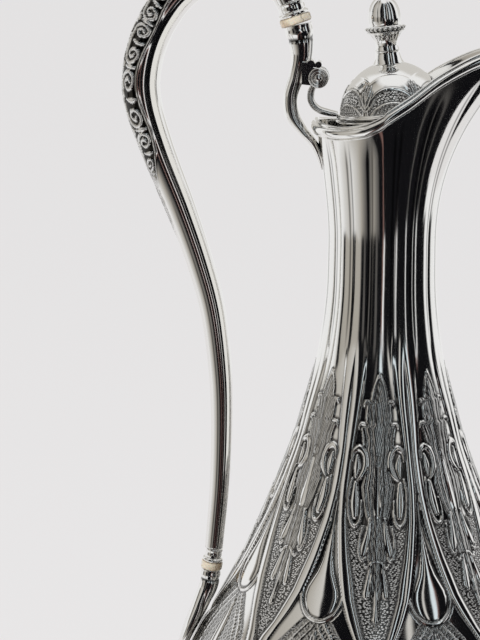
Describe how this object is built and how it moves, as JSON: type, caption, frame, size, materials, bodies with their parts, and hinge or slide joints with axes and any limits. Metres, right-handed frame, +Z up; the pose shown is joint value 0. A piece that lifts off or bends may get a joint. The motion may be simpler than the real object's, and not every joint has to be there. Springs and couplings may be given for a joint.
{
  "type": "lidded water pitcher",
  "caption": "Tall pear-shaped silver pitcher on a foot, with a long neck, beak spout, hinged domed lid with a bud finial, and a high scroll handle with bone heat breaks.",
  "frame": {"origin": "centre of the foot's resting face", "axes": "+Z up, +X towards the spout, the handle on -X"},
  "size_m": [0.1723, 0.16, 0.3625],
  "materials": {
    "silver": "polished silver",
    "chased_silver": "polished silver with chased and matted ornament",
    "bone": "aged bone, satin"
  },
  "bodies": {
    "jug": {"foot_ring": "silver", "foot_dome": "silver", "foot_knop": "silver", "body_bowl": "chased_silver", "body_neck": "chased_silver", "mouth_rim": "silver", "lid_seat": "silver", "handle": "chased_silver", "handle_ferrule_upper": "silver", "handle_ferrule_lower": "silver", "heat_break_upper": "bone", "heat_break_lower": "bone", "heat_break_pins": "silver", "socket_upper": "silver", "socket_lower": "silver", "hinge_fixed_leaf": "silver", "hinge_pin": "silver"},
    "lid": {"hinge_lid_leaf": "silver", "lid_dome": "chased_silver", "lid_flange": "silver", "lid_edge_wire": "silver", "finial_base": "silver", "finial_calyx": "silver", "finial_collar": "silver", "finial_bud": "silver", "finial_stud": "silver", "finial_washer": "silver", "finial_nut": "silver"}
  },
  "joints": [
    {"name": "lid_hinge", "type": "hinge", "parent": "jug", "child": "lid", "pos_m": [-0.0229, 0, 0.3188], "axis": [0, -1, 0], "range_deg": [0, 42]}
  ]
}
